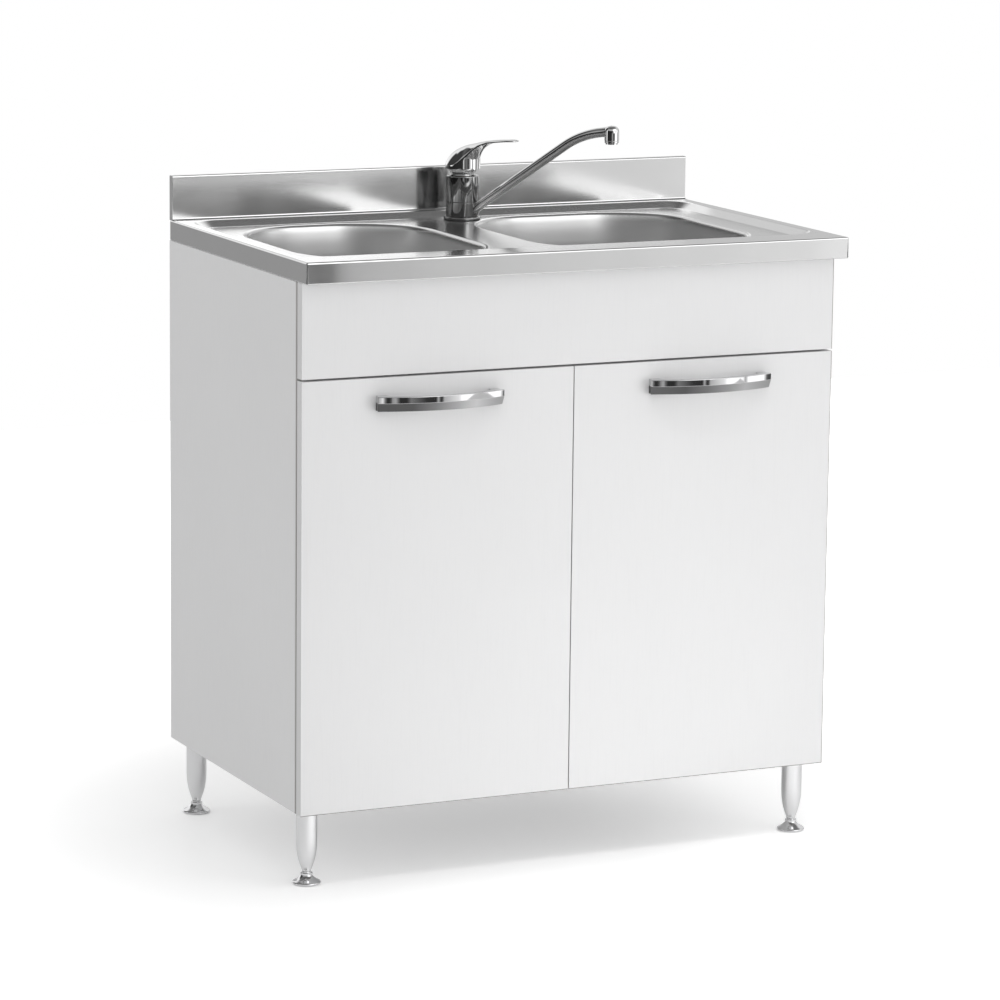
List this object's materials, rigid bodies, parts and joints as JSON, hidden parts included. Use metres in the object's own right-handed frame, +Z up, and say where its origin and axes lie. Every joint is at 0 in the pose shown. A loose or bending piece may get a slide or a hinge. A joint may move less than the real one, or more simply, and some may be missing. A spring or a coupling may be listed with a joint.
{
  "type": "kitchen sink unit",
  "caption": "Freestanding kitchen sink base cabinet with a pressed steel sink top, unequal bowls, backsplash, single-lever mixer tap, hinged doors with bow handles and slim adjustable legs.",
  "frame": {"origin": "on the floor under the middle of the bounding box", "axes": "+Z up, -Y the side of the doors, +X to the right when facing the doors"},
  "size_m": [0.8, 0.517, 0.9788],
  "materials": {
    "carcass_board": "white melamine-faced chipboard, matte",
    "front_board": "white melamine-faced chipboard with a faint vertical pore relief",
    "dowel_wood": "plain beech",
    "sink_steel": "satin stainless steel",
    "drain_steel": "pressed stainless steel",
    "tap_chrome": "polished chrome plating",
    "handle_chrome": "polished chrome plating",
    "foot_chrome": "polished chrome plating",
    "leg_silver": "silver-grey lacquer, glossy",
    "fixing_steel": "bright zinc plating",
    "tap_brass": "bare turned brass",
    "cartridge_plastic": "moulded acetal",
    "seal_rubber": "black rubber",
    "bumper_rubber": "clear soft polyurethane",
    "waste_plastic": "white polypropylene"
  },
  "bodies": {
    "unit": {"left_side_panel": "carcass_board", "right_side_panel": "carcass_board", "floor_board": "carcass_board", "front_rail": "carcass_board", "back_rail": "carcass_board", "back_board": "carcass_board", "fascia_panel": "front_board", "carcass_dowels": "dowel_wood", "sink_top": "sink_steel", "left_bowl": "sink_steel", "right_bowl": "sink_steel", "left_drain": "drain_steel", "right_drain": "drain_steel", "tap_body": "tap_chrome", "tap_ball_cap": "tap_chrome", "front_left_leg": "leg_silver", "front_right_leg": "leg_silver", "back_left_leg": "leg_silver", "back_right_leg": "leg_silver", "cabinet_screws": "fixing_steel", "fascia_screws": "fixing_steel", "leg_bolts": "fixing_steel", "sink_clips": "fixing_steel", "hinge_plates": "fixing_steel", "hinge_arms": "fixing_steel", "tap_washer": "fixing_steel", "tap_lock_nut": "tap_brass", "tap_cartridge": "cartridge_plastic", "drain_seals": "seal_rubber", "tap_gasket": "seal_rubber", "door_bumpers": "bumper_rubber", "waste_manifold": "waste_plastic", "trap_head": "waste_plastic", "trap_cup": "waste_plastic", "waste_outlet_pipe": "waste_plastic", "slip_nuts": "waste_plastic", "drain_nuts": "waste_plastic"},
    "left_door_leaf": {"left_door": "front_board", "left_handle": "handle_chrome", "left_handle_screws": "fixing_steel", "left_hinge_cups": "fixing_steel", "left_hinge_pins": "fixing_steel", "left_hinge_cup_screws": "fixing_steel"},
    "right_door_leaf": {"right_door": "front_board", "right_handle": "handle_chrome", "right_handle_screws": "fixing_steel", "right_hinge_cups": "fixing_steel", "right_hinge_pins": "fixing_steel", "right_hinge_cup_screws": "fixing_steel"},
    "front_left_levelling_foot": {"front_left_foot": "foot_chrome"},
    "front_right_levelling_foot": {"front_right_foot": "foot_chrome"},
    "back_left_levelling_foot": {"back_left_foot": "foot_chrome"},
    "back_right_levelling_foot": {"back_right_foot": "foot_chrome"},
    "spout": {"tap_spout": "tap_chrome", "tap_aerator": "tap_chrome"},
    "lever_stem": {"tap_lever_stem": "tap_brass"},
    "lever": {"tap_lever": "tap_chrome", "tap_lever_pin": "fixing_steel"},
    "left_basket": {"left_strainer": "drain_steel"},
    "right_basket": {"right_strainer": "drain_steel"}
  },
  "joints": [
    {"name": "left_door_hinge", "type": "hinge", "parent": "unit", "child": "left_door_leaf", "pos_m": [-0.393, -0.2185, 0.3935], "axis": [0, 0, -1], "range_deg": [0, 95]},
    {"name": "right_door_hinge", "type": "hinge", "parent": "unit", "child": "right_door_leaf", "pos_m": [0.378, -0.2185, 0.3935], "axis": [0, 0, 1], "range_deg": [0, 95]},
    {"name": "front_left_foot_screw", "type": "slide", "parent": "unit", "child": "front_left_levelling_foot", "axis": [0, 0, -1], "range_m": [0, 0.015]},
    {"name": "front_right_foot_screw", "type": "slide", "parent": "unit", "child": "front_right_levelling_foot", "axis": [0, 0, -1], "range_m": [0, 0.015]},
    {"name": "back_left_foot_screw", "type": "slide", "parent": "unit", "child": "back_left_levelling_foot", "axis": [0, 0, -1], "range_m": [0, 0.015]},
    {"name": "back_right_foot_screw", "type": "slide", "parent": "unit", "child": "back_right_levelling_foot", "axis": [0, 0, -1], "range_m": [0, 0.015]},
    {"name": "spout_swivel", "type": "hinge", "parent": "unit", "child": "spout", "pos_m": [0.018, 0.1955, 0.848], "axis": [0, 0, 1], "range_deg": [-120, 50]},
    {"name": "lever_turn", "type": "hinge", "parent": "unit", "child": "lever_stem", "pos_m": [0.018, 0.1955, 0.9], "axis": [0, 0, 1], "range_deg": [-45, 45]},
    {"name": "lever_tilt", "type": "hinge", "parent": "lever_stem", "child": "lever", "pos_m": [0.018, 0.1955, 0.909], "axis": [-0.866, -0.5, 0], "range_deg": [0, 18]},
    {"name": "left_basket_lift", "type": "slide", "parent": "unit", "child": "left_basket", "axis": [0, 0, 1], "range_m": [0, 0.15]},
    {"name": "right_basket_lift", "type": "slide", "parent": "unit", "child": "right_basket", "axis": [0, 0, 1], "range_m": [0, 0.15]}
  ]
}
